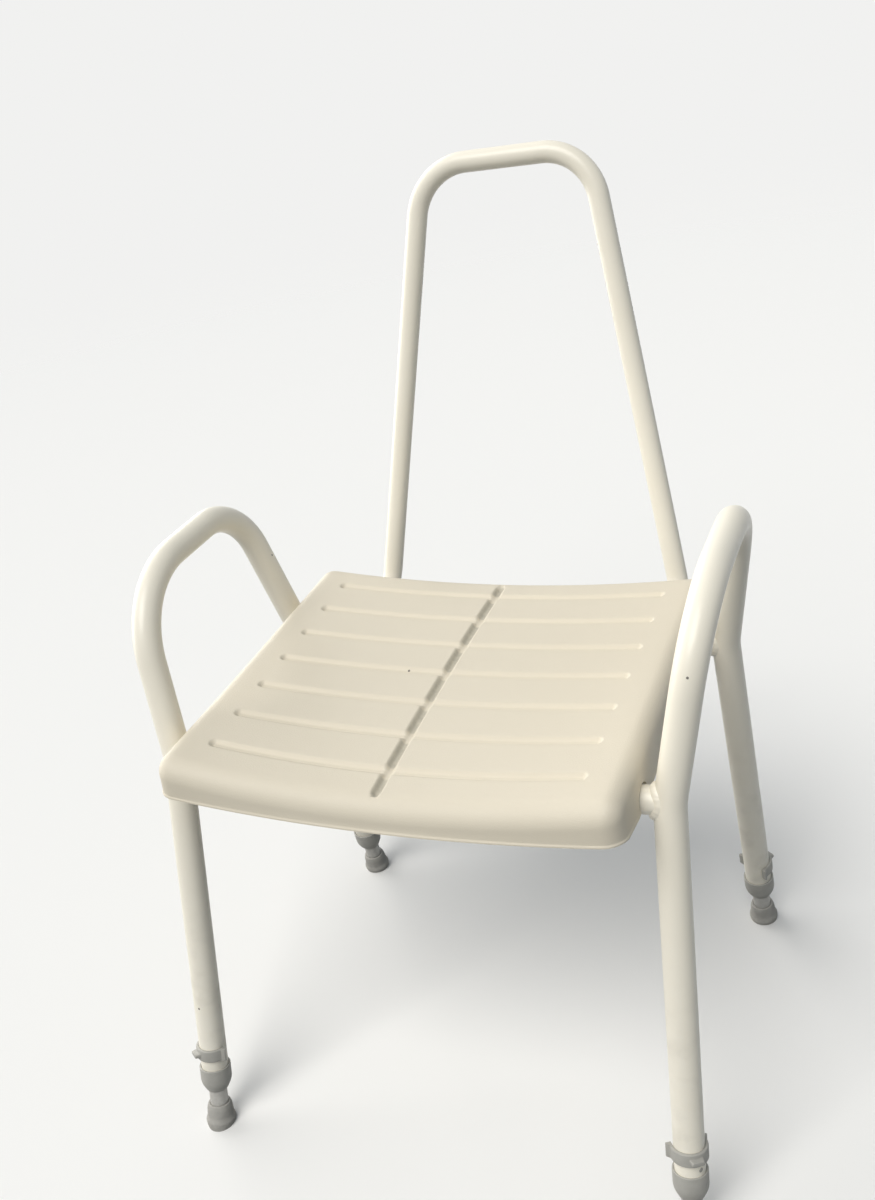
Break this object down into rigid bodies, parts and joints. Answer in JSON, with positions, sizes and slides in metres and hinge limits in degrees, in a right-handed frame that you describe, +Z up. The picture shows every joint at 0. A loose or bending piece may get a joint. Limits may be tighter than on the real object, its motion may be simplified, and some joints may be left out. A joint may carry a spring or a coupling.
{
  "type": "shower chair",
  "caption": "Shower chair with a dished moulded seat, bent-tube legs that form the armrests, a tapering tubular back hoop and telescopic legs on rubber ferrules.",
  "frame": {"origin": "on the floor, under the centre of the chair's bounding box", "axes": "+Z up, the chair faces -Y, +X is to the viewer's right from the front"},
  "size_m": [0.5684, 0.6127, 0.8563],
  "materials": {
    "tube_coating": "semi-gloss cream epoxy coating",
    "seat_plastic": "fine grained, matt",
    "grey_plastic": "satin moulded plastic",
    "grey_tube": "satin grey coating",
    "grey_rubber": "matt",
    "plated_screw": "bright zinc plate"
  },
  "bodies": {
    "frame": {"side_frame_left": "tube_coating", "side_frame_right": "tube_coating", "front_cross_tube": "tube_coating", "rear_cross_tube": "tube_coating", "seat_rail_left": "tube_coating", "seat_rail_right": "tube_coating", "rail_plug_left": "grey_plastic", "rail_plug_right": "grey_plastic", "back_hoop": "tube_coating", "back_screw_left": "plated_screw", "back_screw_right": "plated_screw", "seat": "seat_plastic", "seat_screw_front_left": "plated_screw", "seat_screw_front_right": "plated_screw", "seat_screw_rear_left": "plated_screw", "seat_screw_rear_right": "plated_screw", "leg_cap_front_left": "grey_plastic", "leg_cap_front_right": "grey_plastic", "leg_cap_rear_left": "grey_plastic", "leg_cap_rear_right": "grey_plastic"},
    "leg_front_left": {"inner_leg_front_left": "grey_tube", "leg_guide_front_left": "grey_plastic", "ferrule_front_left": "grey_rubber"},
    "clip_front_left": {"leg_clip_front_left": "grey_plastic"},
    "leg_front_right": {"inner_leg_front_right": "grey_tube", "leg_guide_front_right": "grey_plastic", "ferrule_front_right": "grey_rubber"},
    "clip_front_right": {"leg_clip_front_right": "grey_plastic"},
    "leg_rear_left": {"inner_leg_rear_left": "grey_tube", "leg_guide_rear_left": "grey_plastic", "ferrule_rear_left": "grey_rubber"},
    "clip_rear_left": {"leg_clip_rear_left": "grey_plastic"},
    "leg_rear_right": {"inner_leg_rear_right": "grey_tube", "leg_guide_rear_right": "grey_plastic", "ferrule_rear_right": "grey_rubber"},
    "clip_rear_right": {"leg_clip_rear_right": "grey_plastic"}
  },
  "joints": [
    {"name": "height_front_left", "type": "slide", "parent": "frame", "child": "leg_front_left", "axis": [-0.0206, -0.2502, -0.968], "range_m": [0, 0.15]},
    {"name": "clip_pull_front_left", "type": "slide", "parent": "frame", "child": "clip_front_left", "axis": [-0.583, -0.7836, 0.2149], "range_m": [0, 0.04]},
    {"name": "height_front_right", "type": "slide", "parent": "frame", "child": "leg_front_right", "axis": [0.0206, -0.2502, -0.968], "range_m": [0, 0.15]},
    {"name": "clip_pull_front_right", "type": "slide", "parent": "frame", "child": "clip_front_right", "axis": [0.583, -0.7836, 0.2149], "range_m": [0, 0.04]},
    {"name": "height_rear_left", "type": "slide", "parent": "frame", "child": "leg_rear_left", "axis": [-0.0211, 0.1252, -0.9919], "range_m": [0, 0.15]},
    {"name": "clip_pull_rear_left", "type": "slide", "parent": "frame", "child": "clip_rear_left", "axis": [-0.575, 0.8101, 0.1145], "range_m": [0, 0.04]},
    {"name": "height_rear_right", "type": "slide", "parent": "frame", "child": "leg_rear_right", "axis": [0.0211, 0.1252, -0.9919], "range_m": [0, 0.15]},
    {"name": "clip_pull_rear_right", "type": "slide", "parent": "frame", "child": "clip_rear_right", "axis": [0.575, 0.8101, 0.1145], "range_m": [0, 0.04]}
  ]
}
